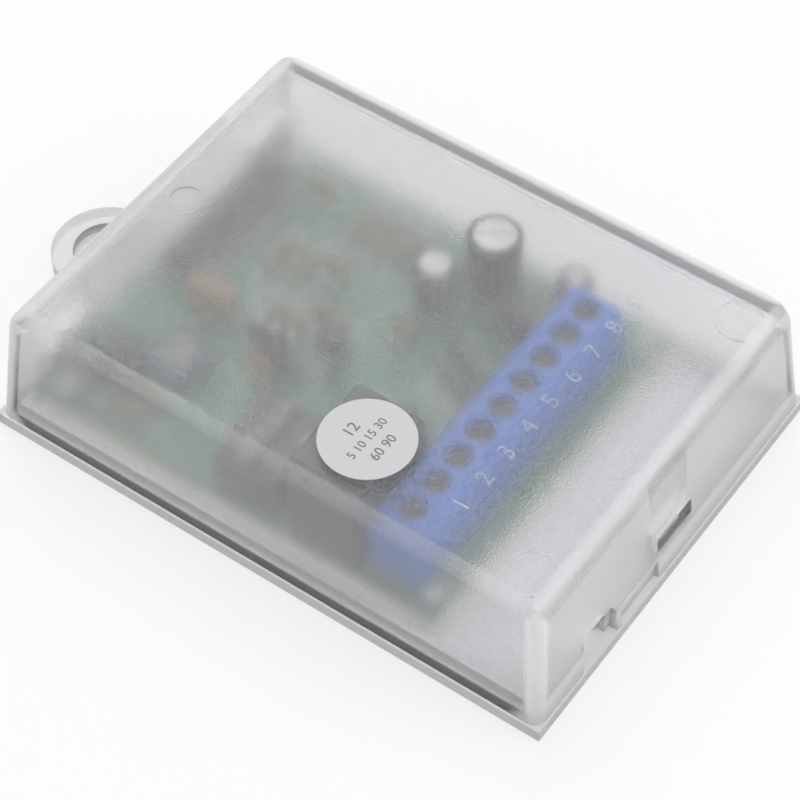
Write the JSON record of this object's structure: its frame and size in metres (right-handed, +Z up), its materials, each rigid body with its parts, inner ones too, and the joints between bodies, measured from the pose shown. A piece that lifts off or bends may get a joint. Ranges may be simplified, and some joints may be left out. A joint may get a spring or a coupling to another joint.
{
  "type": "timer circuit board",
  "caption": "Boxed timer circuit board: frosted clip-fastened lid over a flat base with a screw ear, and a board with a blue screw terminal block, relay, chip and capacitors.",
  "frame": {"origin": "middle of the rectangular base plate's underside, without the ear", "axes": "+X along the box towards the end with the cable notch, away from the screw ear; +Y across the box, away from the relay's side; +Z up through the lid"},
  "size_m": [0.1034, 0.0654, 0.0229],
  "materials": {
    "lid_plastic": "frosted clear plastic with a fine even texture",
    "base_plastic": "pale translucent plastic, fine texture",
    "label_paper": "smooth white paper label",
    "board_laminate": "green coated laminate",
    "board_screw_steel": "zinc plated",
    "terminal_plastic": "moulded blue plastic",
    "tinned_brass": "tin plated",
    "screw_steel": "zinc plated",
    "clamp_steel": "nickel plated",
    "chip_plastic": "matte moulded epoxy",
    "tinned_steel": "tinned",
    "can_metal": "bright drawn can",
    "sleeve_film": "dark shrink film",
    "relay_plastic": "black moulded plastic",
    "bobbin_plastic": "natural moulded plastic",
    "coil_copper": "enamelled copper",
    "yoke_iron": "zinc plated soft iron",
    "switch_plastic": "dark red moulded plastic",
    "slider_plastic": "white moulded plastic",
    "trimmer_plastic": "blue moulded plastic",
    "rotor_plastic": "white moulded plastic",
    "button_plastic": "black moulded plastic",
    "header_plastic": "black moulded plastic",
    "link_plastic": "dark blue moulded plastic",
    "lamp_lens": "pale blue tinted lens",
    "transistor_plastic": "black moulded epoxy",
    "resistor_lacquer": "beige lacquer with plain colour bands",
    "diode_plastic": "black moulded epoxy with a pale band",
    "disc_ceramic": "dipped ceramic",
    "resonator_case": "yellow dipped ceramic"
  },
  "bodies": {
    "case": {"base_plate": "base_plastic", "circuit_board": "board_laminate", "board_screws": "board_screw_steel", "terminal_housing": "terminal_plastic", "terminal_pins": "tinned_brass", "timer_chip": "chip_plastic", "timer_chip_pins": "tinned_steel", "tall_capacitor_can": "can_metal", "tall_capacitor_sleeve": "sleeve_film", "low_capacitor_can": "can_metal", "low_capacitor_sleeve": "sleeve_film", "small_capacitor_can": "can_metal", "small_capacitor_sleeve": "sleeve_film", "relay_cover": "relay_plastic", "relay_base": "relay_plastic", "relay_bobbin": "bobbin_plastic", "relay_coil": "coil_copper", "relay_yoke": "yoke_iron", "relay_terminals": "tinned_brass", "switch_block": "switch_plastic", "trimmer_body": "trimmer_plastic", "start_button_body": "button_plastic", "mode_header": "header_plastic", "mode_header_pins": "tinned_brass", "status_lamp": "lamp_lens", "transistors": "transistor_plastic", "resistors": "resistor_lacquer", "diodes": "diode_plastic", "ceramic_discs": "disc_ceramic", "resonator": "resonator_case"},
    "lid": {"lid": "lid_plastic", "round_label": "label_paper"},
    "relay_armature": {"relay_armature": "yoke_iron", "relay_contact_spring": "tinned_brass"},
    "trimmer_rotor": {"trimmer_rotor": "rotor_plastic"},
    "start_button": {"start_button_plunger": "button_plastic"},
    "mode_link": {"mode_link": "link_plastic"},
    "terminal_screw_1": {"terminal_screw_1": "screw_steel"},
    "wire_clamp_1": {"wire_clamp_1": "clamp_steel"},
    "terminal_screw_2": {"terminal_screw_2": "screw_steel"},
    "wire_clamp_2": {"wire_clamp_2": "clamp_steel"},
    "terminal_screw_3": {"terminal_screw_3": "screw_steel"},
    "wire_clamp_3": {"wire_clamp_3": "clamp_steel"},
    "terminal_screw_4": {"terminal_screw_4": "screw_steel"},
    "wire_clamp_4": {"wire_clamp_4": "clamp_steel"},
    "terminal_screw_5": {"terminal_screw_5": "screw_steel"},
    "wire_clamp_5": {"wire_clamp_5": "clamp_steel"},
    "terminal_screw_6": {"terminal_screw_6": "screw_steel"},
    "wire_clamp_6": {"wire_clamp_6": "clamp_steel"},
    "terminal_screw_7": {"terminal_screw_7": "screw_steel"},
    "wire_clamp_7": {"wire_clamp_7": "clamp_steel"},
    "terminal_screw_8": {"terminal_screw_8": "screw_steel"},
    "wire_clamp_8": {"wire_clamp_8": "clamp_steel"},
    "terminal_screw_9": {"terminal_screw_9": "screw_steel"},
    "wire_clamp_9": {"wire_clamp_9": "clamp_steel"},
    "switch_slider_1": {"switch_slider_1": "slider_plastic"},
    "switch_slider_2": {"switch_slider_2": "slider_plastic"},
    "switch_slider_3": {"switch_slider_3": "slider_plastic"},
    "switch_slider_4": {"switch_slider_4": "slider_plastic"}
  },
  "joints": [
    {"name": "lid_lift", "type": "slide", "parent": "case", "child": "lid", "axis": [0, 0, 1], "range_m": [0, 0.035]},
    {"name": "relay_armature_hinge", "type": "hinge", "parent": "case", "child": "relay_armature", "pos_m": [0.0076, -0.0138, 0.0175], "axis": [1, 0, 0], "range_deg": [0, 2.4], "stiffness_Nm_per_rad": 0.0005, "springref_deg": -5.73},
    {"name": "trimmer_turn", "type": "hinge", "parent": "case", "child": "trimmer_rotor", "pos_m": [-0.0255, -0.0155, 0.01], "axis": [0, 0, 1], "range_deg": [-135, 135]},
    {"name": "start_button_press", "type": "slide", "parent": "case", "child": "start_button", "axis": [0, 0, -1], "range_m": [0, 0.0004], "stiffness_N_per_m": 200, "springref_m": -0.0001},
    {"name": "mode_link_pull", "type": "slide", "parent": "case", "child": "mode_link", "axis": [0, 0, 1], "range_m": [0, 0.006]},
    {"name": "terminal_screw_1_turn", "type": "hinge", "parent": "case", "child": "terminal_screw_1", "pos_m": [0.0176, -0.0218, 0.012], "axis": [0, 0, -1], "range_deg": [0, 1080]},
    {"name": "wire_clamp_1_rise", "type": "slide", "parent": "case", "child": "wire_clamp_1", "axis": [0, 0, 1], "range_m": [0, 0.0015]},
    {"name": "terminal_screw_2_turn", "type": "hinge", "parent": "case", "child": "terminal_screw_2", "pos_m": [0.0176, -0.0168, 0.012], "axis": [0, 0, -1], "range_deg": [0, 1080]},
    {"name": "wire_clamp_2_rise", "type": "slide", "parent": "case", "child": "wire_clamp_2", "axis": [0, 0, 1], "range_m": [0, 0.0015]},
    {"name": "terminal_screw_3_turn", "type": "hinge", "parent": "case", "child": "terminal_screw_3", "pos_m": [0.0176, -0.0118, 0.012], "axis": [0, 0, -1], "range_deg": [0, 1080]},
    {"name": "wire_clamp_3_rise", "type": "slide", "parent": "case", "child": "wire_clamp_3", "axis": [0, 0, 1], "range_m": [0, 0.0015]},
    {"name": "terminal_screw_4_turn", "type": "hinge", "parent": "case", "child": "terminal_screw_4", "pos_m": [0.0176, -0.0068, 0.012], "axis": [0, 0, -1], "range_deg": [0, 1080]},
    {"name": "wire_clamp_4_rise", "type": "slide", "parent": "case", "child": "wire_clamp_4", "axis": [0, 0, 1], "range_m": [0, 0.0015]},
    {"name": "terminal_screw_5_turn", "type": "hinge", "parent": "case", "child": "terminal_screw_5", "pos_m": [0.0176, -0.0018, 0.012], "axis": [0, 0, -1], "range_deg": [0, 1080]},
    {"name": "wire_clamp_5_rise", "type": "slide", "parent": "case", "child": "wire_clamp_5", "axis": [0, 0, 1], "range_m": [0, 0.0015]},
    {"name": "terminal_screw_6_turn", "type": "hinge", "parent": "case", "child": "terminal_screw_6", "pos_m": [0.0176, 0.0032, 0.012], "axis": [0, 0, -1], "range_deg": [0, 1080]},
    {"name": "wire_clamp_6_rise", "type": "slide", "parent": "case", "child": "wire_clamp_6", "axis": [0, 0, 1], "range_m": [0, 0.0015]},
    {"name": "terminal_screw_7_turn", "type": "hinge", "parent": "case", "child": "terminal_screw_7", "pos_m": [0.0176, 0.0082, 0.012], "axis": [0, 0, -1], "range_deg": [0, 1080]},
    {"name": "wire_clamp_7_rise", "type": "slide", "parent": "case", "child": "wire_clamp_7", "axis": [0, 0, 1], "range_m": [0, 0.0015]},
    {"name": "terminal_screw_8_turn", "type": "hinge", "parent": "case", "child": "terminal_screw_8", "pos_m": [0.0176, 0.0132, 0.012], "axis": [0, 0, -1], "range_deg": [0, 1080]},
    {"name": "wire_clamp_8_rise", "type": "slide", "parent": "case", "child": "wire_clamp_8", "axis": [0, 0, 1], "range_m": [0, 0.0015]},
    {"name": "terminal_screw_9_turn", "type": "hinge", "parent": "case", "child": "terminal_screw_9", "pos_m": [0.0176, 0.0182, 0.012], "axis": [0, 0, -1], "range_deg": [0, 1080]},
    {"name": "wire_clamp_9_rise", "type": "slide", "parent": "case", "child": "wire_clamp_9", "axis": [0, 0, 1], "range_m": [0, 0.0015]},
    {"name": "switch_1_slide", "type": "slide", "parent": "case", "child": "switch_slider_1", "axis": [1, 0, 0], "range_m": [0, 0.0018]},
    {"name": "switch_2_slide", "type": "slide", "parent": "case", "child": "switch_slider_2", "axis": [1, 0, 0], "range_m": [0, 0.0018]},
    {"name": "switch_3_slide", "type": "slide", "parent": "case", "child": "switch_slider_3", "axis": [1, 0, 0], "range_m": [0, 0.0018]},
    {"name": "switch_4_slide", "type": "slide", "parent": "case", "child": "switch_slider_4", "axis": [1, 0, 0], "range_m": [0, 0.0018]}
  ],
  "couplings": [
    {"joint": "terminal_screw_1_turn", "follows": "wire_clamp_1_rise", "rad_per_m": 12566},
    {"joint": "terminal_screw_2_turn", "follows": "wire_clamp_2_rise", "rad_per_m": 12566},
    {"joint": "terminal_screw_3_turn", "follows": "wire_clamp_3_rise", "rad_per_m": 12566},
    {"joint": "terminal_screw_4_turn", "follows": "wire_clamp_4_rise", "rad_per_m": 12566},
    {"joint": "terminal_screw_5_turn", "follows": "wire_clamp_5_rise", "rad_per_m": 12566},
    {"joint": "terminal_screw_6_turn", "follows": "wire_clamp_6_rise", "rad_per_m": 12566},
    {"joint": "terminal_screw_7_turn", "follows": "wire_clamp_7_rise", "rad_per_m": 12566},
    {"joint": "terminal_screw_8_turn", "follows": "wire_clamp_8_rise", "rad_per_m": 12566},
    {"joint": "terminal_screw_9_turn", "follows": "wire_clamp_9_rise", "rad_per_m": 12566}
  ]
}
